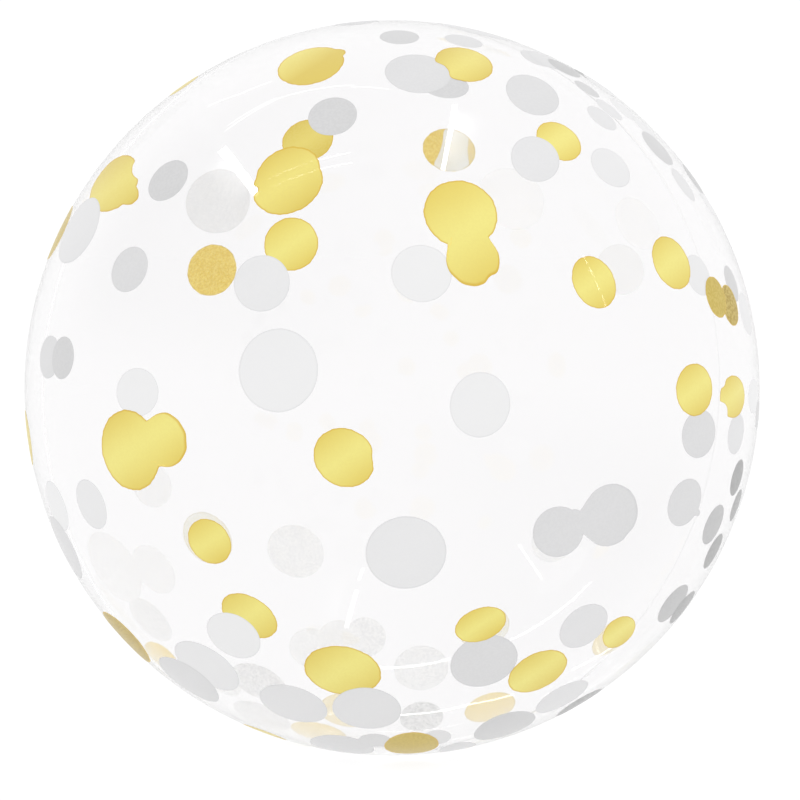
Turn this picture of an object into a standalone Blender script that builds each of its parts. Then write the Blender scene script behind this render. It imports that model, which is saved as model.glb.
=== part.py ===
"""Clear bubble balloon: one round film envelope that lies on a small flat spot.

Metres, +Z up. The origin is on the floor, at the middle of the flat spot, and
the ball is turned about +Z.
"""

import math

import bpy

# Driving dimensions
DIAMETER = 0.450  # across the inflated film, a nominal 18 inch bubble
FLAT_SPOT_RADIUS = 0.028  # the film lies flat here, around its filling seal
MERIDIANS = 80  # facets around the ball
PARALLELS = 40  # facets from the top pole down to the flat spot
MERGE_DISTANCE = 0.00005  # closes the turned profile on its axis

# The clear film
FILM_COLOUR = (0.97, 0.97, 0.96, 1.0)
FILM_ROUGHNESS = 0.03
FILM_OPACITY = 0.2

RADIUS = DIAMETER / 2
CENTRE_HEIGHT = math.sqrt(RADIUS**2 - FLAT_SPOT_RADIUS**2)
FLAT_SPOT_ANGLE = math.asin(FLAT_SPOT_RADIUS / RADIUS)


def clear_scene():
    """Remove every object, so the file holds only the balloon."""
    for item in list(bpy.data.objects):
        bpy.data.objects.remove(item, do_unlink=True)


def film_material():
    """Make the clear film's material."""
    material = bpy.data.materials.new("clear_film")
    material.use_nodes = True
    shader = material.node_tree.nodes["Principled BSDF"]
    shader.inputs["Base Color"].default_value = FILM_COLOUR
    shader.inputs["Roughness"].default_value = FILM_ROUGHNESS
    shader.inputs["Metallic"].default_value = 0.0
    shader.inputs["Alpha"].default_value = FILM_OPACITY
    return material


def ball_profile():
    """List the half outline's points, from the top pole down to the origin."""
    sweep = math.pi - FLAT_SPOT_ANGLE
    points = []
    for step in range(PARALLELS + 1):
        angle = sweep * step / PARALLELS
        reach = RADIUS * math.sin(angle)
        height = CENTRE_HEIGHT + RADIUS * math.cos(angle)
        points.append((reach, 0.0, height))
    points.append((0.0, 0.0, 0.0))
    return points


def turned_body(name, profile, material):
    """Turn a half outline about +Z into one closed body."""
    mesh = bpy.data.meshes.new(name)
    edges = [(index, index + 1) for index in range(len(profile) - 1)]
    mesh.from_pydata(profile, edges, [])
    mesh.materials.append(material)
    body = bpy.data.objects.new(name, mesh)
    bpy.context.collection.objects.link(body)
    turn = body.modifiers.new("turn", "SCREW")
    turn.axis = "Z"
    turn.angle = math.tau
    turn.steps = MERIDIANS
    turn.render_steps = MERIDIANS
    turn.use_merge_vertices = True
    turn.merge_threshold = MERGE_DISTANCE
    turn.use_smooth_shade = True
    return body


def main():
    """Model the balloon."""
    clear_scene()
    turned_body("film_envelope", ball_profile(), film_material())


main()
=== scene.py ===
"""A clear bubble balloon with gold and silver foil dots, set up in a white studio.

The film is two round panels, welded together around their edge and stretched
into a ball by the air inside. It is drawn in to a small welded seal at the flat
spot that the balloon lies on. The dots are foil, bonded to the outside of both
panels. They were round when the panels were flat, so they lie longer towards
the weld.
"""

import logging
import math
import random
from dataclasses import dataclass
from enum import Enum

import bpy
from mathutils import Matrix, Vector


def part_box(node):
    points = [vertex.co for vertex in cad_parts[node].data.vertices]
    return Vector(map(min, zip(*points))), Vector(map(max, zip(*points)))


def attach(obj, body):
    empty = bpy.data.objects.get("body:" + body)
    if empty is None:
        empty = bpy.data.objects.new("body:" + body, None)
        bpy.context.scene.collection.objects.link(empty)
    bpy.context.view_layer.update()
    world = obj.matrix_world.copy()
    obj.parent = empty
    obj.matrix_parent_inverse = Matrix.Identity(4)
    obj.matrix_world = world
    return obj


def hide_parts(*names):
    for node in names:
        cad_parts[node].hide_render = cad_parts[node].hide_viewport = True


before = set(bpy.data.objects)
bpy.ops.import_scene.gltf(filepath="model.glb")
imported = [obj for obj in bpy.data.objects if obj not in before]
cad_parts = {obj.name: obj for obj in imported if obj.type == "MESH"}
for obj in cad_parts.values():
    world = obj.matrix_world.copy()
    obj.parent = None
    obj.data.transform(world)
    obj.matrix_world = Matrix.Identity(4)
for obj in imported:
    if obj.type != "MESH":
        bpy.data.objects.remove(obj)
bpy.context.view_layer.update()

LOG = logging.getLogger("bubble_balloon")
MILLIMETRE = 0.001
CLOSE_BESIDE = 0.5  # In millimetres, where two dots are taken to touch.
FARTHEST_OVERLAP = 90.0  # In millimetres, between the middles of dots that may touch.

Colour = tuple[float, float, float, float]
Faces = list[tuple[int, ...]]
Point = tuple[float, float, float]
Socket = bpy.types.NodeSocket


def grey(level: float) -> Colour:
    """Give a plain grey."""
    return (level, level, level, 1.0)


WHITE = grey(1.0)


def around_circle(steps: int) -> list[float]:
    """List evenly spaced angles once around."""
    return [math.tau * step / steps for step in range(steps)]


def add_object(name: str, data: bpy.types.ID) -> bpy.types.Object:
    """Add an object to the scene.

    Args:
        name: The object's name.
        data: Its mesh, light or camera.

    Returns:
        The object.
    """
    made = bpy.data.objects.new(name, data)
    bpy.context.collection.objects.link(made)
    return made


def make_mesh(name: str, points: list[Vector], faces: Faces, crease: float = 0.0) -> bpy.types.Mesh:
    """Make a smoothly shaded mesh.

    Args:
        name: The mesh's name.
        points: Its points.
        faces: Its faces as point indices.
        crease: Angle between faces, in radians, from which their edge stays sharp,
            or 0 where none does.

    Returns:
        The mesh.
    """
    mesh = bpy.data.meshes.new(name)
    mesh.from_pydata(points, [], faces)
    mesh.shade_smooth()
    if crease:
        mesh.set_sharp_from_angle(angle=crease)
    return mesh


def fan_faces(start: int, sides: int, rings: int) -> Faces:
    """List the faces from a middle point out to the last of the rings around it.

    Args:
        start: Index of the middle point.
        sides: Points in each ring.
        rings: Number of rings.

    Returns:
        The faces as point indices.
    """
    faces: Faces = []
    for step in range(sides):
        after = (step + 1) % sides
        faces.append((start, start + 1 + step, start + 1 + after))
        for ring in range(rings - 1):
            inner = start + 1 + ring * sides
            outer = inner + sides
            faces.append((inner + step, outer + step, outer + after, inner + after))
    return faces


def turned_over(faces: Faces) -> Faces:
    """Turn faces to look the other way."""
    return [tuple(reversed(face)) for face in faces]


class Panel(Enum):
    """The two film panels, by their sense along the line of sight."""

    FRONT = -1
    BACK = 1


class Foil(Enum):
    """The two foils, by the name of their slot in the record."""

    GOLD = "gold_foil"
    SILVER = "silver_foil"


class ToneAndPaintedLight(Enum):
    """How densely a dot's foil is laid, from the palest to the darkest, with painted light in it: the
    darker settings also paint shade and the paler ones paint the wash of reflections.
    """

    FAINT = 0.0
    PALE = 0.16
    LIGHT = 0.29
    SOFT = 0.39
    PLAIN = 0.5
    DEEP = 0.57
    DARK = 0.66
    HEAVY = 0.8
    DENSE = 1.0


FAINT, PALE, LIGHT, SOFT, PLAIN, DEEP, DARK, HEAVY, DENSE = ToneAndPaintedLight


class Easing(Enum):
    """How a mapped value leaves and reaches the ends of its range."""

    SMOOTH = "SMOOTHSTEP"
    EVEN = "LINEAR"


class Mixed(Enum):
    """What a mix node mixes, with the places of its first value and of its result."""

    NUMBERS = ("FLOAT", 2, 0)
    COLOURS = ("RGBA", 6, 2)


@dataclass(frozen=True)
class Spot:
    """A round place on the balloon, as it is charted from straight in front.

    Attributes:
        right: Right of the middle, in hundredths of the outline's radius.
        up: Above the middle, in hundredths of the outline's radius.
        width: Across the spot, in millimetres.
    """

    right: float
    up: float
    width: float


@dataclass(frozen=True)
class Dot(Spot):
    """One foil dot.

    Attributes:
        foil: Its foil.
        length: Along the line from the panel's middle to the weld, in millimetres,
            or 0 where it follows the film's usual stretch.
        tone: How densely its foil is laid, with painted shade and painted reflection in it.
        sheen: How far its painted sheen stripe lies off its middle, towards the upper left.
        lobes: Further rounds that have run into it.
        bites: Rounds that are missing from its edge.
    """

    foil: Foil
    length: float = 0.0
    tone: ToneAndPaintedLight = PLAIN
    sheen: float = 0.0
    lobes: tuple[Spot, ...] = ()
    bites: tuple[Spot, ...] = ()


def gold(right: float, up: float, width: float, *more: object, **shape: object) -> Dot:
    """Chart a gold dot."""
    return Dot(right, up, width, Foil.GOLD, *more, **shape)


def silver(right: float, up: float, width: float, *more: object, **shape: object) -> Dot:
    """Chart a silver dot."""
    return Dot(right, up, width, Foil.SILVER, *more, **shape)


@dataclass(frozen=True)
class Ball:
    """The round form that the film takes.

    Attributes:
        radius: Outer radius of the film.
        flat_radius: Radius of the flat spot underneath.
        centre: Middle of the ball.
        rest: Height of the flat spot above the floor, which leaves room for dots.
        softness: How far the bend into the flat spot is spread.
    """

    radius: float
    flat_radius: float
    centre: Vector
    rest: float = 0.35 * MILLIMETRE
    softness: float = 0.3 * MILLIMETRE

    @classmethod
    def from_frame(cls, node: str, inset: float) -> "Ball":
        """Read the ball's sizes from its CAD node.

        Args:
            node: Name of the CAD node.
            inset: How far the film lies inside the node's round side.

        Returns:
            The ball that fills the node.
        """
        low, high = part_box(node)
        radius = (high[0] - low[0]) / 2
        depth = high[2] - low[2] - radius
        centre = Vector(((low[0] + high[0]) / 2, (low[1] + high[1]) / 2, low[2] + depth))
        radius -= inset
        return cls(radius, math.sqrt(radius**2 - depth**2), centre)

    def on_skin(self, ray: Vector, height: float) -> Vector:
        """Find a point on or above the film.

        Args:
            ray: Unit vector from the ball's centre.
            height: Of the point above the film.

        Returns:
            The point, pressed flat where the balloon lies.
        """
        place = self.centre + ray * (self.radius + height)
        floor = self.rest - height
        above = place.z - floor
        place.z = floor + (above + math.hypot(above, self.softness)) / 2
        return place


@dataclass(frozen=True)
class Viewpoint:
    """Where the viewer stands, straight in front of the balloon.

    Attributes:
        distance: From the ball's centre, in ball radii.
        elevation: Degrees above the ball's centre.
        outline: Share of the picture's half width that the ball's outline takes.
        shift_right: Camera shift that frames the ball a little left.
        shift_up: Camera shift that frames the ball a little high.
    """

    distance: float = 12.0
    elevation: float = 2.0
    outline: float = 0.9197
    shift_right: float = 0.0099
    shift_up: float = -0.0151

    def axes(self) -> tuple[Vector, Vector, Vector]:
        """Give the viewer's own directions.

        Returns:
            Unit vectors to the viewer's right, up and forward.
        """
        tilt = math.radians(self.elevation)
        right = Vector((1.0, 0.0, 0.0))
        forward = Vector((0.0, math.cos(tilt), -math.sin(tilt)))
        return right, right.cross(forward), forward

    def outline_slope(self) -> float:
        """Give the slope from the line of sight to the ball's outline."""
        return 1.0 / math.sqrt(self.distance**2 - 1.0)

    def direction_on_ball(self, spot: Spot, panel: Panel) -> Vector:
        """Find where a spot's line of sight meets one panel of the ball.

        Args:
            spot: The spot.
            panel: The panel that carries it.

        Returns:
            Unit vector from the ball's centre to the spot's middle.
        """
        to_right, to_up, forward = self.axes()
        slope = self.outline_slope() / 100
        ray = (forward + to_right * spot.right * slope + to_up * spot.up * slope).normalized()
        along = self.distance * ray.dot(forward)
        half_chord = math.sqrt(max(0.0, 1.0 - self.distance**2 + along**2))
        reach = along + panel.value * half_chord
        return (ray * reach - forward * self.distance).normalized()

    def place_camera(self, ball: Ball) -> bpy.types.Object:
        """Make the camera and frame the ball with it.

        Args:
            ball: The ball that is looked at.

        Returns:
            The camera.
        """
        forward = self.axes()[2]
        data = bpy.data.cameras.new("camera")
        data.lens = data.sensor_width / 2 * self.outline / self.outline_slope()
        data.shift_x = self.shift_right
        data.shift_y = self.shift_up
        data.dof.use_dof = False
        camera = add_object("camera", data)
        camera.location = ball.centre - forward * self.distance * ball.radius
        camera.rotation_euler = forward.to_track_quat("-Z", "Y").to_euler()
        bpy.context.scene.camera = camera
        return camera


class NodeBoard:
    """A node tree for a material, a world or a light, kept short to write."""

    def __init__(self, owner: bpy.types.ID, output: str = "OutputMaterial") -> None:
        """Make an empty board.

        Args:
            owner: The material, world or light.
            output: The output node's type name, without its ShaderNode prefix.
        """
        owner.use_nodes = True
        self.tree = owner.node_tree
        self.tree.nodes.clear()
        self.output = self.add(output)

    def add(self, kind: str, **values: object) -> bpy.types.Node:
        """Add a node.

        Args:
            kind: The node's type name, without its ShaderNode prefix.
            **values: Properties to set on the node.

        Returns:
            The new node.
        """
        node = self.tree.nodes.new("ShaderNode" + kind)
        for key, value in values.items():
            setattr(node, key, value)
        return node

    def link(self, source: Socket, target: Socket) -> None:
        """Join two sockets."""
        self.tree.links.new(source, target)

    def feed(self, socket: Socket, value: object) -> None:
        """Set a socket's value, or link another socket to it.

        Args:
            socket: The socket to set.
            value: A value, or the socket to link.
        """
        if isinstance(value, Socket):
            self.link(value, socket)
        else:
            socket.default_value = value

    def math(self, operation: str, first: object, second: object = 0.0) -> Socket:
        """Add a math node.

        Args:
            operation: Name of the operation.
            first: A number or a socket.
            second: A number or a socket.

        Returns:
            The result's socket.
        """
        node = self.add("Math", operation=operation)
        self.feed(node.inputs[0], first)
        self.feed(node.inputs[1], second)
        return node.outputs["Value"]

    def spread(
        self,
        value: Socket,
        source: tuple[float, float],
        target: tuple[float, float] = (0.0, 1.0),
        easing: Easing = Easing.SMOOTH,
    ) -> Socket:
        """Map a value from one range to another.

        Args:
            value: Socket to map.
            source: Range that it is read in.
            target: Values at the two ends of that range.
            easing: How the ends are eased.

        Returns:
            The mapped value's socket.
        """
        ends = {"From Min": source[0], "From Max": source[1], "To Min": target[0], "To Max": target[1]}
        node = self.wire("MapRange", {"Value": value, **ends})
        node.interpolation_type = easing.value
        return node.outputs["Result"]

    def mix(
        self, factor: object, first: object, second: object, kind: Mixed = Mixed.COLOURS
    ) -> Socket:
        """Mix two values.

        Args:
            factor: Share of the second value.
            first: A colour, a number or a socket.
            second: A colour, a number or a socket.
            kind: What they are.

        Returns:
            The mixed value's socket.
        """
        data_type, place, result = kind.value
        node = self.add("Mix", data_type=data_type)
        self.feed(node.inputs[0], factor)
        self.feed(node.inputs[place], first)
        self.feed(node.inputs[place + 1], second)
        return node.outputs[result]

    def wire(self, kind: str, values: dict[str, object]) -> bpy.types.Node:
        """Add a node and feed its sockets.

        Args:
            kind: The node's type name, without its ShaderNode prefix.
            values: What each named socket gets, a value or another socket.

        Returns:
            The new node.
        """
        node = self.add(kind)
        for name, value in values.items():
            self.feed(node.inputs[name], value)
        return node

    def attribute(self, name: str) -> Socket:
        """Read one of the mesh's own numbers."""
        return self.add("Attribute", attribute_name=name).outputs["Fac"]

    def noise(self, size: float, detail: float = 2.0) -> Socket:
        """Add a noise texture in the piece's own space.

        Args:
            size: Length of one blotch, in metres.
            detail: Octaves of finer noise.

        Returns:
            The noise's value socket, from 0 to 1.
        """
        place = self.add("TexCoord").outputs["Object"]
        node = self.wire("TexNoise", {"Scale": 1.0 / size, "Detail": detail, "Vector": place})
        return node.outputs["Fac"]

    def bump(self, height: Socket, depth: float) -> Socket:
        """Add a bump as deep as given, in metres, from heights between 0 and 1."""
        return self.wire("Bump", {"Distance": depth, "Height": height}).outputs["Normal"]

    def split(self, vector: Socket) -> bpy.types.NodeOutputs:
        """Split a vector into its X, Y and Z."""
        return self.wire("SeparateXYZ", {"Vector": vector}).outputs


@dataclass(frozen=True)
class FilmFinish:
    """Clear, glossy, stretched film.

    Attributes:
        tint: What the film lets through.
        ior: Refractive index of the film.
        roughness: Roughness of its gloss.
        ripple_size: Length of the soft ripples that stretching leaves.
        ripple_depth: Height of those ripples.
    """

    tint: Colour = (0.954, 0.950, 0.953, 1.0)
    ior: float = 1.38
    roughness: float = 0.02
    ripple_size: float = 60.0 * MILLIMETRE
    ripple_depth: float = 0.02 * MILLIMETRE

    def make(self) -> bpy.types.Material:
        """Make the film's material.

        Returns:
            Clear film that lets soft light through to what is behind it.
        """
        material = bpy.data.materials.new("clear_film")
        board = NodeBoard(material)
        ripples = board.noise(self.ripple_size, detail=1.0)
        film = board.wire("BsdfPrincipled", {
            "Base Color": self.tint,
            "Roughness": self.roughness,
            "IOR": self.ior,
            "Transmission Weight": 1.0,
            "Normal": board.bump(ripples, self.ripple_depth),
        })
        clear = board.add("BsdfTransparent")
        path = board.add("LightPath").outputs
        passing = board.math("MAXIMUM", path["Is Shadow Ray"], path["Is Diffuse Ray"])
        mix = board.wire("MixShader", {"Fac": passing})
        board.link(film.outputs["BSDF"], mix.inputs[1])
        board.link(clear.outputs["BSDF"], mix.inputs[2])
        board.link(mix.outputs["Shader"], board.output.inputs["Surface"])
        return material


@dataclass(frozen=True)
class FoilFinish:
    """Satin foil, as it shows on its face, or on its back through the film, with a painted sheen
    across each dot.

    Attributes:
        name: The material's name.
        thin: Colour where the foil is laid palest, which on far dots also paints the wash of the
            film's reflections.
        plain: Colour of the usual foil.
        dense: Colour where it is laid darkest, which on dots near the rim also paints shade.
        painted_sheen: Colour of the painted sheen, a soft lighter stripe across each dot.
        painted_sheen_share: How strongly that painted sheen shows.
        edge: Colour of the cut edge.
        edge_share: How strongly the edge shows on the usual foil.
        grain: Colour of its fine specks.
        grain_share: How strongly the specks show, on plain and on the densest foil.
        metallic: Metallic value.
        roughness: Mean roughness.
        coat: Weight of its thin clear varnish.
        coat_roughness: Roughness of the varnish.
        coat_ior: Refractive index of the varnish.
        gloss: How strongly the foil itself mirrors.
        speck: Size of the specks.
        speck_span: Noise levels between which a speck fades in.
        speck_roughness: How much rougher a speck is.
        faint_specks: Share of the specks that the palest foil keeps.
        cut_span: Shares of the way to the rim between which the cut edge fades in.
        painted_sheen_fall: How quickly the painted sheen falls off beside its middle.
        patch_size: Length of the painted sheen's uneven patches.
        patch_span: Noise levels between which a patch changes.
        drift: How far the patches move the painted sheen's strength.
        dimple_size: Length of the foil's fine unevenness.
        dimple_depth: Height of that unevenness.
    """

    name: str
    thin: Colour
    plain: Colour
    dense: Colour
    painted_sheen: Colour
    painted_sheen_share: float
    edge: Colour
    edge_share: float
    grain: Colour
    grain_share: tuple[float, float]
    metallic: float
    roughness: float
    coat: float
    coat_roughness: float = 0.03
    coat_ior: float = 1.4
    gloss: float = 0.15
    speck: float = 1.5 * MILLIMETRE
    speck_span: tuple[float, float] = (0.44, 0.56)
    speck_roughness: float = 0.12
    faint_specks: float = 0.1
    cut_span: tuple[float, float] = (0.945, 0.985)
    painted_sheen_fall: float = 1.3
    patch_size: float = 30.0 * MILLIMETRE
    patch_span: tuple[float, float] = (0.3, 0.7)
    drift: float = 0.06
    dimple_size: float = 1.6 * MILLIMETRE
    dimple_depth: float = 0.02 * MILLIMETRE

    def make(self) -> bpy.types.Material:
        """Make the foil's material.

        Returns:
            The material, which reads each dot's own foil density with its painted light, its edge and
            its slant across the painted sheen.
        """
        material = bpy.data.materials.new(self.name)
        board = NodeBoard(material)
        tone = board.attribute("tone")
        plain = PLAIN.value
        to_plain = (0.0, plain)
        beyond = (plain, DENSE.value)
        # Painted light: the darker settings also paint shade on dots near the rim and the top, and the
        # paler ones paint the wash that the film's reflections lay over far dots.
        paler = board.mix(board.spread(tone, to_plain, easing=Easing.EVEN), self.thin, self.plain)
        base = board.mix(board.spread(tone, beyond, easing=Easing.EVEN), paler, self.dense)
        fading = board.spread(tone, (plain, HEAVY.value), (1.0, 0.0), Easing.EVEN)
        # Painted sheen: a lighter stripe across each dot stands in for the light that satin foil
        # catches, and fades out on the darker settings.
        lit = board.mix(board.math("MULTIPLY", self._painted_sheen(board), fading), base, self.painted_sheen)
        cut = board.spread(board.attribute("rim"), self.cut_span)
        heavier = board.math("ADD", tone, 1.0 - plain)
        cut_share = board.math("MULTIPLY", board.math("MULTIPLY", cut, heavier), self.edge_share)
        rimmed = board.mix(cut_share, lit, self.edge)
        specks = board.spread(board.noise(self.speck, detail=3.0), self.speck_span)
        share = board.spread(tone, beyond, self.grain_share, Easing.EVEN)
        laid = board.spread(tone, to_plain, (self.faint_specks, 1.0), Easing.EVEN)
        grain_share = board.math("MULTIPLY", board.math("MULTIPLY", specks, share), laid)
        uneven = board.math("MULTIPLY", specks, self.speck_roughness)
        foil = board.wire("BsdfPrincipled", {
            "Base Color": board.mix(grain_share, rimmed, self.grain),
            "Metallic": self.metallic,
            "Roughness": board.math("ADD", uneven, self.roughness),
            "Specular IOR Level": self.gloss,
            "Coat Weight": self.coat,
            "Coat Roughness": self.coat_roughness,
            "Coat IOR": self.coat_ior,
            "Normal": board.bump(board.noise(self.dimple_size), self.dimple_depth),
        })
        board.link(foil.outputs["BSDF"], board.output.inputs["Surface"])
        return material

    def _painted_sheen(self, board: NodeBoard) -> Socket:
        """Paint the soft sheen that runs slantwise across each dot, as a lighter stripe.

        Args:
            board: The material's board.

        Returns:
            The painted sheen's share, strongest in its middle and falling off evenly beside it.
        """
        off_band = board.math("ABSOLUTE", board.attribute("slant"))
        fall = board.math("POWER", off_band, self.painted_sheen_fall)
        patches = board.noise(self.patch_size)
        drift = board.spread(patches, self.patch_span, (-self.drift, self.drift))
        shade = board.spread(board.math("ADD", fall, drift), (0.0, 1.0), (1.0, 0.0), Easing.EVEN)
        return board.math("MULTIPLY", shade, self.painted_sheen_share)


GOLD_FACE = FoilFinish(
    name="gold_face",
    thin=(0.74, 0.69, 0.58, 1.0),
    plain=(0.683, 0.537, 0.112, 1.0),
    dense=(0.37, 0.25, 0.02, 1.0),
    painted_sheen=(0.773, 0.696, 0.215, 1.0),
    painted_sheen_share=1.0,
    edge=(0.59, 0.37, 0.035, 1.0),
    edge_share=0.75,
    grain=(0.70, 0.58, 0.20, 1.0),
    grain_share=(0.08, 0.5),
    metallic=0.15,
    roughness=0.45,
    coat=0.3,
)
GOLD_BACK = FoilFinish(
    name="gold_back",
    thin=(0.83, 0.84, 0.81, 1.0),
    plain=(0.775, 0.55, 0.075, 1.0),
    dense=(0.47, 0.36, 0.12, 1.0),
    painted_sheen=(0.84, 0.66, 0.2, 1.0),
    painted_sheen_share=0.15,
    edge=(0.42, 0.28, 0.07, 1.0),
    edge_share=0.35,
    grain=(0.88, 0.71, 0.20, 1.0),
    grain_share=(0.7, 0.7),
    metallic=0.0,
    roughness=0.6,
    coat=0.0,
)
SILVER_FACE = FoilFinish(
    name="silver_face",
    thin=grey(0.839),
    plain=(0.662, 0.66, 0.667, 1.0),
    dense=grey(0.31),
    painted_sheen=grey(0.82),
    painted_sheen_share=0.06,
    edge=(0.52, 0.525, 0.53, 1.0),
    edge_share=0.3,
    grain=grey(0.86),
    grain_share=(0.06, 0.15),
    metallic=0.1,
    roughness=0.45,
    coat=0.3,
)
SILVER_BACK = FoilFinish(
    name="silver_back",
    thin=(0.98, 0.985, 0.995, 1.0),
    plain=(0.785, 0.793, 0.803, 1.0),
    dense=(0.46, 0.463, 0.47, 1.0),
    painted_sheen=grey(0.90),
    painted_sheen_share=0.0,
    edge=(0.62, 0.62, 0.625, 1.0),
    edge_share=0.12,
    grain=(0.985, 0.985, 0.98, 1.0),
    grain_share=(0.5, 0.5),
    metallic=0.0,
    roughness=0.6,
    coat=0.0,
)


CLEAR_FILM = FilmFinish()
WELDED_FILM = FilmFinish(tint=grey(0.965), ior=1.06, roughness=0.1)


@dataclass
class FilmEnvelope:
    """The clear film: a hollow ball, drawn in to a welded seal underneath.

    Attributes:
        ball: The form it takes.
        thickness: Of the film.
        around: Facets around the ball.
        rings: Facets from the top pole to the flat spot.
        flat_rings: Facets from the flat spot's edge to its middle.
        seal_radius: Radius of the welded button that closes the filling hole.
        seal_rise: How far the film is drawn up towards the seal.
        button_rise: Share of that rise at which the flat button lies.
        drawn_share: Share of the flat spot's radius that is drawn up.
        pleats: Number of small gathers around the seal.
        pleat_height: Height of the gathers, half way up.
    """

    ball: Ball
    thickness: float = 0.1 * MILLIMETRE
    around: int = 240
    rings: int = 120
    flat_rings: int = 24
    seal_radius: float = 6.0 * MILLIMETRE
    seal_rise: float = 0.9 * MILLIMETRE
    button_rise: float = 0.8
    drawn_share: float = 0.9
    pleats: int = 20
    pleat_height: float = 0.25 * MILLIMETRE

    def build(self) -> bpy.types.Object:
        """Build the film in place of its CAD solid.

        Returns:
            The finished piece.
        """
        outer = self._points()
        shrink = 1.0 - self.thickness / self.ball.radius
        centre = self.ball.centre
        inner = [centre + (point - centre) * shrink for point in outer]
        faces = self._faces(0) + turned_over(self._faces(len(outer)))
        mesh = make_mesh("clear_film", outer + inner, faces)
        mesh.materials.append(CLEAR_FILM.make())
        film = add_object("clear_film", mesh)
        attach(film, "root")
        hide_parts("film_envelope")
        return film

    def _points(self) -> list[Vector]:
        """List the outer skin's points.

        Returns:
            The pole, then each ring, and the seal's middle last.
        """
        ball = self.ball
        flat_angle = math.asin(ball.flat_radius / ball.radius)
        points = [ball.on_skin(Vector((0.0, 0.0, 1.0)), 0.0)]
        for ring in range(1, self.rings + 1):
            points += self._ring((math.pi - flat_angle) * ring / self.rings)
        for ring in range(1, self.flat_rings):
            reach = ball.flat_radius * (1.0 - ring / self.flat_rings)
            points += self._ring(math.pi - math.asin(reach / ball.radius))
        points.append(self._drawn_in(Vector((0.0, 0.0, -1.0)), 0.0))
        return points

    def _ring(self, angle: float) -> list[Vector]:
        """List one ring of points around the ball.

        Args:
            angle: From the top pole.

        Returns:
            The ring's points.
        """
        reach = math.sin(angle)
        points = []
        for turn in around_circle(self.around):
            ray = Vector((reach * math.cos(turn), reach * math.sin(turn), math.cos(angle)))
            points.append(self._drawn_in(ray, turn))
        return points

    def _drawn_in(self, ray: Vector, turn: float) -> Vector:
        """Find a point on the film, drawn up around the seal.

        Args:
            ray: Unit vector from the ball's centre.
            turn: Angle around the axis.

        Returns:
            The point.
        """
        point = self.ball.on_skin(ray, 0.0)
        reach = self.ball.radius * math.hypot(ray.x, ray.y)
        fade = max(0.0, 1.0 - reach / (self.ball.flat_radius * self.drawn_share))
        if ray.z > 0.0 or fade == 0.0:
            return point
        if reach <= self.seal_radius:
            point.z += self.seal_rise * self.button_rise
            return point
        gather = 0.5 + 0.5 * math.cos(self.pleats * turn)
        point.z += self.seal_rise * fade**2
        point.z += self.pleat_height * gather * 4.0 * fade * (1.0 - fade)
        return point

    def _faces(self, start: int) -> Faces:
        """List the faces of one skin, from the pole down to the seal.

        Args:
            start: Index of the skin's first point.

        Returns:
            The faces as point indices.
        """
        ring_count = self.rings + self.flat_rings - 1
        faces = fan_faces(start, self.around, ring_count)
        edge = start + 1 + (ring_count - 1) * self.around
        last = edge + self.around
        for step in range(self.around):
            faces.append((edge + (step + 1) % self.around, edge + step, last))
        return faces


@dataclass
class PanelWeld:
    """The narrow welded edge that joins the two film panels, all round the ball.

    Attributes:
        ball: The ball that it runs around.
        turned: Degrees that its left side is turned towards the viewer.
        width: Across the weld.
        height: How far it stands out of the film.
        root: How far it is sunk into the film.
        around: Facets around the ball.
        across: Facets across the weld.
        crease: Angle between facets, in radians, from which their edge stays sharp.
    """

    ball: Ball
    turned: float = 22.8
    width: float = 2.4 * MILLIMETRE
    height: float = 0.04 * MILLIMETRE
    root: float = 0.02 * MILLIMETRE
    around: int = 360
    across: int = 6
    crease: float = 0.05

    def build(self) -> bpy.types.Object:
        """Build the weld.

        Returns:
            The finished piece.
        """
        profile = self._profile()
        angle = math.radians(self.turned)
        along = Vector((math.cos(angle), math.sin(angle), 0.0))
        aside_of = Vector((-math.sin(angle), math.cos(angle), 0.0))
        upward = Vector((0.0, 0.0, 1.0))
        points: list[Vector] = []
        for turn in around_circle(self.around):
            middle = along * math.cos(turn) + upward * math.sin(turn)
            for aside, height in profile:
                ray = (middle + aside_of * (aside / self.ball.radius)).normalized()
                points.append(self.ball.on_skin(ray, height))
        size = len(profile)
        faces: Faces = []
        for step in range(self.around):
            near = step * size
            far = (step + 1) % self.around * size
            for index in range(size):
                after = (index + 1) % size
                faces.append((near + index, near + after, far + after, far + index))
        mesh = make_mesh("panel_weld", points, faces, self.crease)
        mesh.materials.append(WELDED_FILM.make())
        weld = add_object("panel_weld", mesh)
        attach(weld, "root")
        return weld

    def _profile(self) -> list[tuple[float, float]]:
        """Draw the weld's profile.

        Returns:
            Places aside of the weld's middle, and their heights above the film.
        """
        crown = []
        for step in range(self.across + 1):
            share = step / self.across
            height = -self.root + (self.height + self.root) * math.sin(math.pi * share)
            crown.append((self.width * (0.5 - share), height))
        return crown


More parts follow.
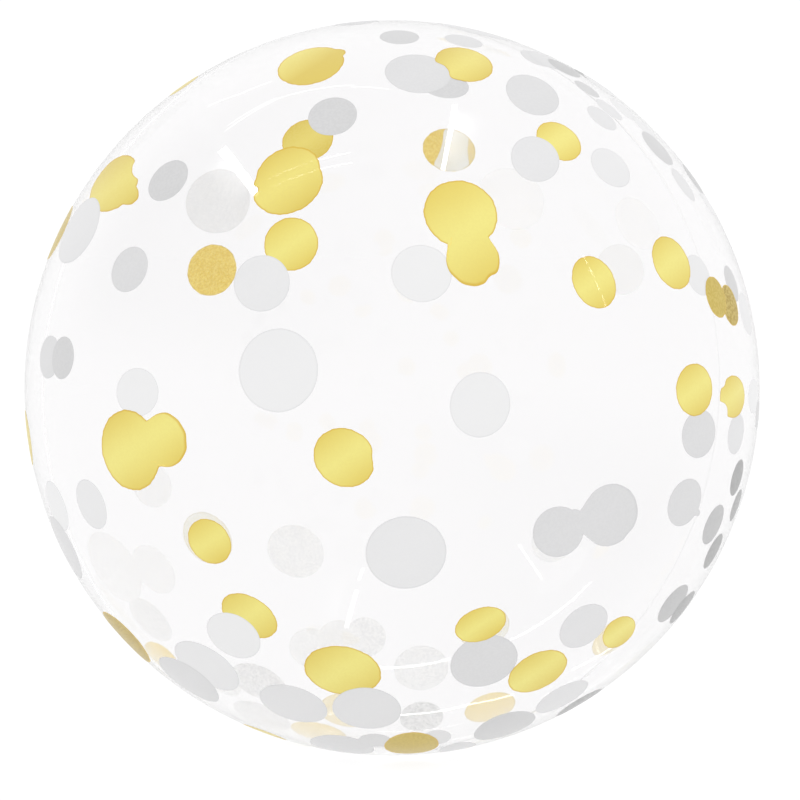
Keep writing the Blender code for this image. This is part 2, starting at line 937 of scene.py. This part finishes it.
@dataclass(frozen=True)
class Seat:
    """How one dot lies on the ball.

    Attributes:
        ball: The ball.
        out: Unit vector from the ball's centre to the dot's middle.
        level: Level direction along the film, to the viewer's right.
        rise: Upward direction along the film.
        away: Direction along the film from the panel's middle to the weld.
        stretch: How many times longer the dot is in that direction.
    """

    ball: Ball
    out: Vector
    level: Vector
    rise: Vector
    away: Vector
    stretch: float

    def ray(self, aside: float, above: float) -> Vector:
        """Lay a place in the unstretched dot on the ball.

        Args:
            aside: Right of the dot's middle, in millimetres.
            above: Above the dot's middle, in millimetres.

        Returns:
            Unit vector from the ball's centre.
        """
        flat = (self.level * aside + self.rise * above) * MILLIMETRE
        flat += self.away * flat.dot(self.away) * (self.stretch - 1.0)
        arc = flat.length / self.ball.radius
        return self.out * math.cos(arc) + flat.normalized() * math.sin(arc)

    def flat(self, ray: Vector) -> tuple[float, float]:
        """Find a direction's place in the unstretched dot.

        Args:
            ray: Unit vector from the ball's centre.

        Returns:
            Places right of and above the dot's middle, in millimetres.
        """
        arc = self.out.angle(ray, 0.0)
        along = (ray - self.out * ray.dot(self.out)).normalized()
        flat = along * arc * self.ball.radius / MILLIMETRE
        flat -= self.away * flat.dot(self.away) * (1.0 - 1.0 / self.stretch)
        return flat.dot(self.level), flat.dot(self.rise)


@dataclass(frozen=True)
class LaidDot:
    """A dot in its place on the balloon.

    Attributes:
        dot: The dot.
        panel: The panel that carries it.
        seat: How it lies on the ball.
        edge: Its unstretched reach at each step around, in millimetres.
        layer: How many dots lie under it.
    """

    dot: Dot
    panel: Panel
    seat: Seat
    edge: tuple[float, ...]
    layer: int = 0

    def covers(self, ray: Vector) -> bool:
        """Tell whether a direction meets the dot, or passes close beside it.

        Args:
            ray: Unit vector from the ball's centre.

        Returns:
            True where it does.
        """
        aside, above = self.seat.flat(ray)
        share = math.atan2(above, aside) / math.tau % 1.0
        reach = self.edge[int(share * len(self.edge)) % len(self.edge)]
        return math.hypot(aside, above) < reach + CLOSE_BESIDE

    def edge_rays(self) -> list[Vector]:
        """List the directions of the points around the dot's edge.

        Returns:
            Unit vectors from the ball's centre.
        """
        rays = []
        for turn, reach in zip(around_circle(len(self.edge)), self.edge):
            rays.append(self.seat.ray(reach * math.cos(turn), reach * math.sin(turn)))
        return rays

    def overlaps(self, other: "LaidDot") -> bool:
        """Tell whether the dot and another lie over each other.

        Args:
            other: The other dot.

        Returns:
            True where either reaches over the other's edge.
        """
        gap = self.seat.out.angle(other.seat.out, 0.0) * self.seat.ball.radius / MILLIMETRE
        if gap > FARTHEST_OVERLAP:
            return False
        if any(self.covers(ray) for ray in other.edge_rays()):
            return True
        return any(other.covers(ray) for ray in self.edge_rays())


@dataclass
class DotPattern:
    """The pattern of dots on the balloon.

    Attributes:
        ball: The ball that carries it.
        view: Viewpoint from which it is charted.
        lengthening: How strongly dots lie longer towards the weld.
        sides: Points around an edge.
        waviness: How far a cut edge strays, as a share of the dot's radius.
        waves: Numbers of waves around an edge.
        silver_share: How far silver edges stray, as a share of gold ones.
        core: How near a dot's middle a bite reaches at most, as a share of its width.
    """

    ball: Ball
    view: Viewpoint
    lengthening: float = 1.3
    sides: int = 96
    waviness: float = 0.004
    waves: tuple[int, ...] = (7, 12, 19, 31)
    silver_share: float = 0.3
    core: float = 0.1

    def lay(self, charts: dict[Panel, tuple[Dot, ...]]) -> list[LaidDot]:
        """Lay the dots, each over the ones before it.

        Args:
            charts: The dots of each panel.

        Returns:
            The dots in their places.
        """
        chance = random.Random("dots")
        laid: list[LaidDot] = []
        for panel, dots in charts.items():
            for dot in dots:
                seat = self._seat(dot, panel)
                fresh = LaidDot(dot, panel, seat, self._edge(dot, panel, seat, chance))
                under = [other.layer + 1 for other in laid if fresh.overlaps(other)]
                layer = max(under, default=0)
                laid.append(LaidDot(dot, panel, seat, fresh.edge, layer))
        return laid

    def _seat(self, dot: Dot, panel: Panel) -> Seat:
        """Find how a dot lies on the ball.

        Args:
            dot: The dot.
            panel: The panel that carries it.

        Returns:
            The dot's seat.
        """
        out = self.view.direction_on_ball(dot, panel)
        middle = self.view.axes()[2] * panel.value
        away = (out * out.dot(middle) - middle).normalized()
        level = Vector((0.0, 0.0, 1.0)).cross(out).normalized() * -panel.value
        rise = out.cross(level) * -panel.value
        lean_out = math.acos(max(-1.0, min(1.0, out.dot(middle))))
        stretch = (lean_out / math.sin(lean_out)) ** self.lengthening
        if dot.length:
            stretch = dot.length / dot.width
        return Seat(self.ball, out, level, rise, away, stretch)

    def _edge(
        self, dot: Dot, panel: Panel, seat: Seat, chance: random.Random
    ) -> tuple[float, ...]:
        """Draw a dot's edge.

        Args:
            dot: The dot.
            panel: The panel that carries it.
            seat: How it lies on the ball.
            chance: Source of the cut edge's small irregularities.

        Returns:
            The unstretched reach at each step around, in millimetres.
        """
        sides = self.sides * 2 if dot.lobes else self.sides
        lobes = [self._local(spot, panel, seat) for spot in dot.lobes]
        bites = [self._local(spot, panel, seat) for spot in dot.bites]
        reaches: list[float] = []
        for turn in around_circle(sides):
            reach = dot.width / 2
            for lobe in lobes:
                hit = self._crossing(turn, lobe)
                reach = max(reach, hit[1]) if hit else reach
            for bite in bites:
                hit = self._crossing(turn, bite)
                if hit and hit[1] > 0.0:
                    reach = min(reach, max(hit[0], self.core * dot.width))
            reaches.append(reach)
        if lobes or bites:
            reaches = [
                (reaches[step - 1] + 2.0 * reaches[step] + reaches[(step + 1) % sides]) / 4
                for step in range(sides)
            ]
        share = 1.0 if dot.foil is Foil.GOLD else self.silver_share
        waves = [(count, chance.uniform(0.0, math.tau)) for count in self.waves]
        for step, turn in enumerate(around_circle(sides)):
            stray = sum(math.sin(count * turn + phase) for count, phase in waves)
            reaches[step] *= 1.0 + self.waviness * share * stray
        return tuple(reaches)

    def _local(self, spot: Spot, panel: Panel, seat: Seat) -> Point:
        """Give a spot's place in the unstretched dot and its width, in millimetres."""
        aside, above = seat.flat(self.view.direction_on_ball(spot, panel))
        return aside, above, spot.width

    @staticmethod
    def _crossing(turn: float, place: Point) -> tuple[float, float] | None:
        """Find where a line from the dot's middle crosses a round.

        Args:
            turn: The line's direction.
            place: The round's place and width.

        Returns:
            Distances at which the line enters and leaves, or nothing.
        """
        aside, above, width = place
        along = aside * math.cos(turn) + above * math.sin(turn)
        off_line = -aside * math.sin(turn) + above * math.cos(turn)
        if abs(off_line) >= width / 2:
            return None
        half_chord = math.sqrt((width / 2) ** 2 - off_line**2)
        return along - half_chord, along + half_chord


@dataclass
class DotSkin:
    """The points of one dot.

    Attributes:
        tone: How densely its foil is laid, with painted shade and painted reflection in it.
        mirrored: True where the points run the other way round.
        sides: Points around its edge.
        face: Points of its face.
        back: Points of its back.
        chart: Each point's place across the dot.
        rim: Each point's share of the way to the edge.
        slant: Each point's distance off the painted sheen, from -1 to 1 across the dot.
    """

    tone: float
    mirrored: bool
    sides: int
    face: list[Vector]
    back: list[Vector]
    chart: list[tuple[float, float]]
    rim: list[float]
    slant: list[float]


@dataclass
class FoilDots:
    """All the dots of one foil, as thin foil on the outside of the film.

    Attributes:
        ball: The ball that carries them.
        foil: Which foil.
        lift: Gap between the film and the lowest dot's back.
        thickness: Of the foil.
        step: Extra height of each further layer of dots.
        rings: Points from the middle to the edge.
        painted_sheen_angle: Degrees that the painted sheen rises to the right.
        crease: Angle between facets, in radians, from which their edge stays sharp.
    """

    ball: Ball
    foil: Foil
    lift: float = 0.04 * MILLIMETRE
    thickness: float = 0.02 * MILLIMETRE
    step: float = 0.06 * MILLIMETRE
    rings: int = 5
    painted_sheen_angle: float = 34.0
    crease: float = 0.7

    def build(
        self, name: str, pattern: list[LaidDot], finishes: tuple[FoilFinish, FoilFinish]
    ) -> bpy.types.Object:
        """Build the dots as one piece.

        Args:
            name: The piece's name.
            pattern: All the dots in their places.
            finishes: Finish of the foil's face and of its back.

        Returns:
            The finished piece.
        """
        skins = [self._skin(laid) for laid in pattern if laid.dot.foil is self.foil]
        mesh = self._join(name, skins)
        for finish in finishes:
            mesh.materials.append(finish.make())
        piece = add_object(name, mesh)
        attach(piece, "root")
        piece.visible_glossy = False  # The film's outer gloss mirrors only the room.
        return piece

    def _skin(self, laid: LaidDot) -> DotSkin:
        """Lay one dot out on the ball.

        Args:
            laid: The dot in its place.

        Returns:
            The dot's points and charts.
        """
        dot = laid.dot
        sides = len(laid.edge)
        places = [(0.0, 0.0, 0.0)]
        for ring in range(1, self.rings + 1):
            share = ring / self.rings
            for turn, reach in zip(around_circle(sides), laid.edge):
                inside = reach * share
                places.append((inside * math.cos(turn), inside * math.sin(turn), share))
        height = self.lift + self.step * laid.layer
        skin = DotSkin(dot.tone.value, laid.panel is Panel.BACK, sides, [], [], [], [], [])
        for aside, above, share in places:
            ray = laid.seat.ray(aside, above)
            skin.face.append(self.ball.on_skin(ray, height + self.thickness))
            skin.back.append(self.ball.on_skin(ray, height))
            skin.chart.append((0.5 + aside / dot.width, 0.5 + above / dot.width))
            skin.rim.append(share)
        skin.slant = self._slants(skin.face, dot.sheen)
        return skin

    def _slants(self, points: list[Vector], sheen: float) -> list[float]:
        """Measure how far each point lies off the dot's painted sheen.

        Args:
            points: Points of the dot's face.
            sheen: How far the painted sheen lies off the dot's middle.

        Returns:
            Distances, where the dot's own outline reaches from -1 to 1.
        """
        angle = math.radians(self.painted_sheen_angle)
        across = Vector((-math.sin(angle), 0.0, math.cos(angle)))
        along = [point.dot(across) for point in points]
        low, high = min(along), max(along)
        return [2.0 * (value - low) / (high - low) - 1.0 - sheen for value in along]

    def _join(self, name: str, skins: list[DotSkin]) -> bpy.types.Mesh:
        """Join the dots into one mesh.

        Args:
            name: The mesh's name.
            skins: The dots.

        Returns:
            The mesh, with its charts, each dot's foil density with its painted light, and each point's
            place across the painted sheen.
        """
        points: list[Vector] = []
        charts: list[tuple[float, float]] = []
        rims: list[float] = []
        slants: list[float] = []
        faces: Faces = []
        backs: list[int] = []
        tones_and_painted_light: list[float] = []
        for skin in skins:
            start = len(points)
            points += skin.face + skin.back
            charts += skin.chart * 2
            rims += skin.rim * 2
            slants += skin.slant * 2
            front = fan_faces(start, skin.sides, self.rings)
            back = turned_over(fan_faces(start + len(skin.face), skin.sides, self.rings))
            side = self._side(start, skin)
            dot_faces = front + back + side
            faces += turned_over(dot_faces) if skin.mirrored else dot_faces
            backs += [0] * len(front) + [1] * len(back) + [0] * len(side)
            tones_and_painted_light += [skin.tone] * len(dot_faces)
        mesh = make_mesh(name, points, faces, self.crease)
        mesh.polygons.foreach_set("material_index", backs)
        layer = mesh.uv_layers.new(name="dot")
        for loop in mesh.loops:
            layer.data[loop.index].uv = charts[loop.vertex_index]
        mesh.attributes.new("rim", "FLOAT", "POINT").data.foreach_set("value", rims)
        mesh.attributes.new("slant", "FLOAT", "POINT").data.foreach_set("value", slants)
        mesh.attributes.new("tone", "FLOAT", "FACE").data.foreach_set("value", tones_and_painted_light)
        return mesh

    def _side(self, start: int, skin: DotSkin) -> Faces:
        """List the faces that close a dot's edge.

        Args:
            start: Index of the face's middle point.
            skin: The dot.

        Returns:
            The faces as point indices.
        """
        edge = start + 1 + (self.rings - 1) * skin.sides
        size = len(skin.face)
        faces: Faces = []
        for step in range(skin.sides):
            after = (step + 1) % skin.sides
            faces.append((edge + step, edge + size + step, edge + size + after, edge + after))
        return faces


# Besides real differences in the foil, the chosen settings paint light: the darker ones paint shade on
# dots near the rim and the top, and the paler ones on the far panel paint the wash of the film's
# reflections.
CHARTS: dict[Panel, tuple[Dot, ...]] = {
    Panel.FRONT: (
        silver(-69.4, -1.2, 28, 33.5, LIGHT),
        gold(-71.5, -17, 47, 48, lobes=(Spot(-61.9, -14.2, 31.5),)),
        gold(-13, -19, 36, 33, bites=(Spot(35, -19, 175),)),
        gold(-49.7, -41.8, 28, 29),
        gold(-23, 67.5, 30, 33.5, DARK),
        silver(-16.2, 74, 28.5, 33, DARK),
        # Painted highlight: the small bite in its left edge leaves the foil out where the reflection
        # of strip_left crosses the dot.
        gold(-28.5, 55.5, 42, 41, DEEP, lobes=(Spot(-28.4, 58.6, 38),),
             bites=(Spot(-37.8, 53.6, 6.5),)),
        gold(-27.5, 39.2, 31, 34),
        silver(-35.5, 28.5, 32.5, 35, SOFT),
        gold(-22.2, 88, 40, 49.5, DEEP, sheen=0.9, lobes=(Spot(-14.9, 91, 10),)),
        gold(-76.1, 55.9, 38, 69, DEEP, lobes=(Spot(-71.6, 52.6, 13),),
             bites=(Spot(-67.1, 60.3, 17.5),)),
        silver(-61, 56.5, 28, 32, DARK),
        silver(-71.5, 32.3, 27.5, 31.5, DEEP),
        silver(-31.1, 4.8, 47.5, 47.2, LIGHT),
        silver(8, 31.2, 34.5, 34, LIGHT),
        gold(18.7, 47.5, 42.5, 43.5, lobes=(Spot(22, 35, 31.5),), bites=(Spot(27.8, 28.8, 9),)),
        silver(24, -4.6, 37, 35, LIGHT),
        silver(3.8, -45, 46, 46, SOFT),
        gold(55, 28.8, 31.5, 29.5),
        gold(45.4, 67.2, 28.5, 33),
        silver(39, 62.4, 29, 37, PLAIN),
        silver(38.3, 80, 33, 46, DEEP),
        silver(59.5, 60, 27.5, 31.5, SOFT),
        silver(2, 95.5, 23.5, 27.5, DARK),
        silver(19.5, 94.4, 23, 24, DEEP),
        silver(14.2, 82.6, 29, 28, DARK),
        silver(7.1, 85.8, 39, 44, DEEP),
        gold(19.6, 88.3, 34.5, 45, DEEP, bites=(Spot(10.3, 85.4, 23),)),
        silver(49.4, -36.7, 16, 18.6, DEEP, lobes=(Spot(59.4, -34.7, 37), Spot(45.3, -39.2, 30)),
               bites=(Spot(70, -46, 52),)),
        silver(79.7, -31.2, 29, 34.5, DEEP, lobes=(Spot(83.2, -34.1, 4),)),
        silver(83.6, -12.5, 28.5, 36, DEEP),
        silver(93.6, -12.5, 24.5, 27.5, PLAIN),
        gold(82.4, -0.5, 30.5, 37),
        gold(92.8, -2.4, 25, 39, bites=(Spot(89.3, -6.6, 12), Spot(89.2, 2, 9))),
        silver(83.3, 30.7, 25, 28, SOFT),
        silver(92.3, 28.4, 22.5, 22.5, DARK),
        silver(96.2, 20.2, 26, 29.5, SOFT),
        gold(91.9, 22.5, 25, 26, DENSE),
        gold(88.1, 24.7, 25, 26, HEAVY),
        gold(76.1, 34.1, 32.5, 35.5),
        # Painted shade: the darkest settings on these dots at the right rim stand in for the shade
        # there.
        silver(93.8, -24.4, 22.5, 23.2, DENSE),
        silver(87.4, -37.2, 25.5, 27.5, HEAVY),
        silver(93.5, -31.9, 20.5, 22, DENSE),
        silver(87.4, -44.4, 23.5, 26, DENSE),
        silver(76.5, -58.7, 27.5, 33.5, HEAVY),
        silver(79, -59.7, 24.5, 33, DENSE),
        silver(98.3, -2.2, 21, 30, LIGHT),
        silver(99.4, -7.2, 18, 24, DARK),
        gold(-38.9, -62.1, 35.5, 31),
        silver(-43.2, -67.5, 34, 38, LIGHT),
        gold(-13.5, -77.2, 45, 44.5),
        silver(-6.9, -87.6, 40.5, 50, PLAIN),
        silver(-26.9, -86.2, 41.3, 45, PLAIN),
        silver(-50.6, -75.9, 44, 47, SOFT),
        silver(-55.5, -79.6, 43, 53.5, DEEP),
        silver(25.1, -74.6, 40, 46.5, DEEP),
        gold(24.1, -64.4, 30.5, 25.5),
        gold(39.7, -77.3, 37.3, 41),
        silver(52.2, -64.9, 32, 37),
        gold(61.8, -66.5, 22.5, 34.5),
        silver(46.3, -84.2, 35, 39.5, PLAIN),
        silver(51, -85.7, 32, 42.5, DENSE),
        silver(12, -95.2, 18, 30),
        silver(17.8, -97.9, 23, 42.5, DEEP),
        silver(-13.7, -97.6, 39, 58, DEEP),
        silver(-4.6, -95.9, 20, 27, DEEP),
        gold(5.3, -97.2, 32.5, 55, HEAVY),
        silver(30.7, -92.3, 38.5, 55, DARK),
        silver(-93.3, 8.4, 25.5, 33, DEEP),
        silver(-89.6, 8.2, 25.2, 29, DARK),
        silver(-85.5, 43, 43, 58),
        silver(-91.3, -32.1, 31.5, 36.3, LIGHT),
        silver(-81.9, -31.7, 30.7, 31.5, SOFT),
        silver(-89, -43.5, 41.4, 51.5, DEEP),
        gold(-90.5, 42.3, 36, 52.3, HEAVY),
        gold(-56.6, 82.2, 21, 24, DARK),
        gold(-34.7, -93.7, 28, 30, DARK),
        gold(-99, -13.6, 34, 38.4, DARK),
        gold(-72.5, -68, 41.5, 57, DENSE),
        silver(-9.6, 99.4, 26.5, 35, DARK),
        silver(23.4, 97.2, 49, 58, DEEP),
        silver(39.2, 89.7, 20, 30, DEEP),
        silver(41.9, 89.2, 24, 34, DEEP),
        silver(46.8, 87, 22, 30, HEAVY),
        silver(51.9, 85.1, 13, 16, DENSE),
        silver(53, 81.3, 17.5, 17, DARK),
        silver(56.5, 82.2, 24, 30, PLAIN),
        silver(63, 75.6, 21, 22, SOFT),
        silver(68.6, 70.8, 18, 22, SOFT),
        silver(57.1, 73.4, 21, 22),
        silver(59, 75.7, 19.5, 17.5),
        silver(72.2, 65.2, 26.5, 28.5, DARK),
        silver(79.2, 55.3, 23.5, 19.5),
        silver(85.7, 50.5, 17, 24, SOFT),
        silver(81.8, 56.9, 22, 26, HEAVY),
    ),
    Panel.BACK: (
        gold(-49.1, 32.1, 34.5, 38),
        # Painted reflection: these two paler copies of the dot below, cut to a stripe, paint the wash
        # that the near film's reflection of the right-hand lamps lays over it.
        gold(15.6, 64.8, 34, 36, FAINT, bites=(Spot(-11.2, 69.4, 120), Spot(44.4, 59.5, 120))),
        gold(15.6, 64.8, 34, 36, LIGHT, bites=(Spot(-11.2, 69.4, 120), Spot(47, 59, 120))),
        gold(15.5, 64.8, 34.5, 36.5),
        gold(-50.3, -40.9, 37, 37, FAINT),
        gold(25, -65.3, 34, 36, FAINT),
        gold(60.3, -67.6, 33, 36.5, PALE),
        gold(-62.8, -73.3, 26, 42),
        gold(-20, -93.8, 35.5, 38, LIGHT),
        gold(-12, -88, 37, 46, PALE),
        gold(26.7, -87.1, 33, 41, LIGHT),
        silver(-47.6, 51, 43, 56, SOFT),
        silver(32.5, 51.6, 45.5, 48, FAINT),
        silver(62.2, 32.3, 33.5, 42, PALE),
        silver(66.9, 44.8, 37, 40, FAINT),
        silver(-65.3, -26.6, 29, 34.5, LIGHT),
        silver(-75.9, -48.9, 50, 58, LIGHT),
        silver(-64.9, -49.4, 35.5, 37, LIGHT),
        silver(-65.8, -63.1, 35, 37.5, PLAIN),
        silver(-26.3, -44.5, 38.5, 38.5, SOFT),
        silver(-21.8, -70.9, 30, 37.5, SOFT),
        silver(-14, -68.6, 30, 35, SOFT),
        silver(-7.4, -67.9, 27, 35, PLAIN),
        silver(7.9, -76.4, 35, 44.5, PLAIN),
        silver(8, -89.7, 27.5, 43, HEAVY),
        silver(-36.4, -80.1, 37.3, 40.5, DARK),
        silver(-35.5, -89.3, 38, 44.5, DARK),
        silver(-46, -80.4, 25, 30, PLAIN),
        silver(44.2, -41.2, 32, 34, LIGHT),
    ),
}


CEILING = 8.0  # Height of the lamps overhead, in ball radii above the ball's centre.
FILM_PASSES = 2.5  # Light from the near film has passed film fewer times, from the far one more.
STRIP = 12.0  # Brightness of the lamps that stand out sharply.
GLOW = 2.4  # Brightness of the soft lamps beside them.


@dataclass(frozen=True)
class Lamp:
    """One flat lamp that faces the balloon.

    Attributes:
        name: Its name.
        start: Its first end, in ball radii from the ball's centre.
        end: Its last end.
        width: Across it, in ball radii.
        brightness: Of its surface, where the white surroundings are 1.
        fading: True where it fades out across its width.
        echo: True where only the far side of the film mirrors it.
        fall: How quickly a fading lamp loses light across its width.
        ending: Shares of its length, off its middle, between which it loses it too.
    """

    name: str
    start: Point
    end: Point
    width: float
    brightness: float
    fading: bool = False
    echo: bool = False
    fall: float = 1.5
    ending: tuple[float, float] = (0.2, 0.5)

    def hang(self, ball: Ball) -> bpy.types.Object:
        """Hang the lamp.

        Args:
            ball: The ball that it faces.

        Returns:
            The light.
        """
        first, last = Vector(self.start), Vector(self.end)
        middle = (first + last) / 2
        along = (last - first).normalized()
        across = along.cross(middle.normalized()).normalized()
        facing = across.cross(along)
        data = bpy.data.lights.new(self.name, "AREA")
        data.shape = "RECTANGLE"
        data.size = self.width * ball.radius
        data.size_y = (last - first).length * ball.radius
        data.energy = self.brightness * math.pi * data.size * data.size_y
        board = NodeBoard(data, "OutputLight")
        passes = board.add("LightPath").outputs["Transmission Depth"]
        shown = board.math("GREATER_THAN" if self.echo else "LESS_THAN", passes, FILM_PASSES)
        if self.fading:
            shown = board.math("MULTIPLY", shown, self._fade(board))
        shine = board.wire("Emission", {"Strength": shown})
        board.link(shine.outputs["Emission"], board.output.inputs["Surface"])
        light = add_object(self.name, data)
        turned = Matrix((across, along, facing)).transposed().to_4x4()
        light.matrix_world = Matrix.Translation(ball.centre + middle * ball.radius) @ turned
        light.visible_diffuse = False
        light.visible_camera = False
        return light

    def _fade(self, board: NodeBoard) -> Socket:
        """Let the lamp fade out across its width.

        Args:
            board: The lamp's board.

        Returns:
            Its share of the full brightness.
        """
        place = board.split(board.add("NewGeometry").outputs["Parametric"])
        falling = board.spread(place["X"], (0.0, 1.0), (1.0, 0.0), Easing.EVEN)
        off_middle = board.math("ABSOLUTE", board.math("SUBTRACT", place["Y"], 0.5))
        ending = board.spread(off_middle, self.ending, (1.0, 0.0))
        return board.math("MULTIPLY", board.math("POWER", falling, self.fall), ending)


def overhead(
    name: str, start: tuple[float, float], end: tuple[float, float], *values: float, **kind: bool
) -> Lamp:
    """Chart a lamp under the ceiling."""
    return Lamp(name, (*start, CEILING), (*end, CEILING), *values, **kind)


LAMPS = (
    overhead("strip_left", (-5.49, -2.69), (-5.73, 1.58), 0.34, STRIP),
    overhead("strip_right", (1.84, -2.96), (1.79, 0.98), 0.16, STRIP),
    overhead("glow_left", (-6.6, 1.58), (-6.45, -2.69), 1.3, 0.7 * GLOW, fading=True),
    overhead("glow_right", (2.43, -2.96), (2.38, 0.98), 0.95, GLOW, fading=True),
    overhead("edge_0", (-5.3, 2.7), (-3.1, 2.8), 0.05, 0.2 * STRIP),
    overhead("edge_1", (-3.1, 2.8), (-1.0, 2.1), 0.05, 0.2 * STRIP),
    overhead("edge_2", (-5.1, 3.0), (-3.2, 2.95), 0.05, 0.2 * STRIP),
    overhead("edge_3", (-1.1, 2.0), (-0.1, 1.6), 0.05, 0.2 * STRIP),
    overhead("edge_4", (-5.4, 6.9), (-4.2, 5.4), 0.05, 0.2 * STRIP),
    overhead("edge_5", (-4.2, 5.4), (-3.2, 4.9), 0.05, 0.2 * STRIP),
    overhead("near_0", (-4.7, -2.65), (-1.4, -2.65), 0.04, STRIP),
    overhead("near_1", (-4.7, -2.1), (-1.4, -2.1), 0.04, STRIP),
    Lamp("side_0", (9.0, -3.29, 3.6), (9.0, -3.29, 4.1), 0.08, 2.5 * STRIP),
    Lamp("side_1", (9.0, -3.29, 4.34), (9.0, -3.29, 4.84), 0.08, 2.5 * STRIP),
    Lamp("side_2", (9.0, -3.29, 5.08), (9.0, -3.29, 5.58), 0.08, 2.5 * STRIP),
    Lamp("side_3", (9.0, -3.29, 5.82), (9.0, -3.29, 6.32), 0.08, 2.5 * STRIP),
    overhead("echo_0", (1.27, -3.4), (1.36, -2.6), 0.12, 0.5 * STRIP, echo=True),
    overhead("echo_1", (1.38, -1.96), (1.54, 0.47), 0.15, 0.5 * STRIP, echo=True),
    overhead("echo_2", (-6.38, -2.95), (-6.26, 1.1), 0.1, 0.5 * STRIP, echo=True),
    overhead("echo_3", (-8.3, 3.5), (-3.8, 3.0), 0.16, 0.5 * STRIP, echo=True),
    overhead("echo_4", (-1.73, 2.75), (0.35, 2.95), 0.18, 0.5 * STRIP, echo=True),
    overhead("echo_5", (-7.9, 16.2), (-5.4, 11.7), 0.2, 0.5 * STRIP, echo=True),
    overhead("echo_6", (-3.3, 9.5), (-2.1, 8.4), 0.2, 0.5 * STRIP, echo=True),
    overhead("echo_7", (-2.1, 8.4), (-0.2, 8.4), 0.2, 0.5 * STRIP, echo=True),
    overhead("echo_glow", (2.4, -2.95), (2.4, 1.0), 0.95, 0.2 * GLOW, fading=True, echo=True),
)


@dataclass(frozen=True)
class FloorFinish:
    """A light table: white, matt and glowing.

    Attributes:
        white: Share of the light that it scatters.
        glow: How brightly it shines of itself.
        lift: Extra light that it throws up at the dots.
    """

    white: float = 0.12
    glow: float = 0.908
    lift: float = 0.06

    def make(self) -> bpy.types.Material:
        """Make the floor's material.

        Returns:
            The material.
        """
        material = bpy.data.materials.new("floor")
        board = NodeBoard(material)
        path = board.add("LightPath")
        lift = board.math("MULTIPLY", path.outputs["Is Diffuse Ray"], self.lift)
        paint = board.wire("BsdfPrincipled", {
            "Base Color": grey(self.white),
            "Roughness": 1.0,
            "Specular IOR Level": 0.0,
            "Emission Color": WHITE,
            "Emission Strength": board.math("ADD", lift, self.glow),
        })
        board.link(paint.outputs["BSDF"], board.output.inputs["Surface"])
        return material


@dataclass
class Studio:
    """A white floor, white surroundings and soft light.

    Attributes:
        ball: The ball that is lit.
        floor_radius: Radius of the floor.
        floor_sides: Corners of the floor.
        dome: Brightness of the soft light all round, which lights the surfaces.
        backdrop: Brightness of the white that is seen behind the balloon.
        mirrored: Brightness of the room that the film mirrors, at its left and right.
        left_to_right: Between which places across the room that brightness changes.
        low_to_high: Heights between which the backdrop gives way to it.
        back_wall: Depths between which it gives way to the backdrop again.
    """

    ball: Ball
    floor_radius: float = 60.0
    floor_sides: int = 96
    dome: float = 1.27
    backdrop: float = 1.06
    mirrored: tuple[float, float] = (0.62, 1.0)
    left_to_right: tuple[float, float] = (-0.9, 0.3)
    low_to_high: tuple[float, float] = (0.0, 0.4)
    back_wall: tuple[float, float] = (0.2, 0.75)

    def build(self, lamps: tuple[Lamp, ...]) -> None:
        """Build the floor, the surroundings and the lamps.

        Args:
            lamps: The lamps to hang.
        """
        self._floor()
        self._surroundings()
        for lamp in lamps:
            lamp.hang(self.ball)
        bpy.context.scene.view_settings.view_transform = "Standard"

    def _floor(self) -> None:
        """Lay the floor."""
        reach = self.floor_radius
        turns = around_circle(self.floor_sides)
        corners = [(reach * math.cos(turn), reach * math.sin(turn), 0.0) for turn in turns]
        mesh = bpy.data.meshes.new("floor")
        mesh.from_pydata(corners, [], [tuple(range(self.floor_sides))])
        mesh.materials.append(FloorFinish().make())
        add_object("floor", mesh)

    def _surroundings(self) -> None:
        """Surround the studio with white, brightest behind the balloon."""
        world = bpy.data.worlds.new("studio")
        board = NodeBoard(world, "OutputWorld")
        place = board.split(board.add("TexCoord").outputs["Generated"])
        walls = board.spread(place["X"], self.left_to_right, self.mirrored)
        room = board.spread(place["Z"], self.low_to_high, (self.backdrop, walls))
        behind = board.spread(place["Y"], self.back_wall, (room, self.backdrop))
        path = board.add("LightPath").outputs
        seen = board.mix(path["Is Camera Ray"], behind, self.backdrop, Mixed.NUMBERS)
        strength = board.mix(path["Is Diffuse Ray"], seen, self.dome, Mixed.NUMBERS)
        light = board.wire("Background", {"Color": WHITE, "Strength": strength})
        board.link(light.outputs["Background"], board.output.inputs["Surface"])
        bpy.context.scene.world = world


def main() -> None:
    """Build the balloon and its studio."""
    logging.basicConfig(level=logging.INFO, format="%(name)s: %(message)s")
    ball = Ball.from_frame("film_envelope", inset=0.3 * MILLIMETRE)
    view = Viewpoint()
    view.place_camera(ball)
    pieces = [FilmEnvelope(ball).build(), PanelWeld(ball).build()]
    pattern = DotPattern(ball, view).lay(CHARTS)
    LOG.info("%d dots in %d layers", len(pattern), 1 + max(laid.layer for laid in pattern))
    finishes = {Foil.GOLD: (GOLD_FACE, GOLD_BACK), Foil.SILVER: (SILVER_FACE, SILVER_BACK)}
    for foil, name in {Foil.GOLD: "gold_dots", Foil.SILVER: "silver_dots"}.items():
        pieces.append(FoilDots(ball, foil).build(name, pattern, finishes[foil]))
    for piece in pieces:
        LOG.info("%s: %d faces", piece.name, len(piece.data.polygons))
    Studio(ball).build(LAMPS)


if __name__ == "__main__":
    main()
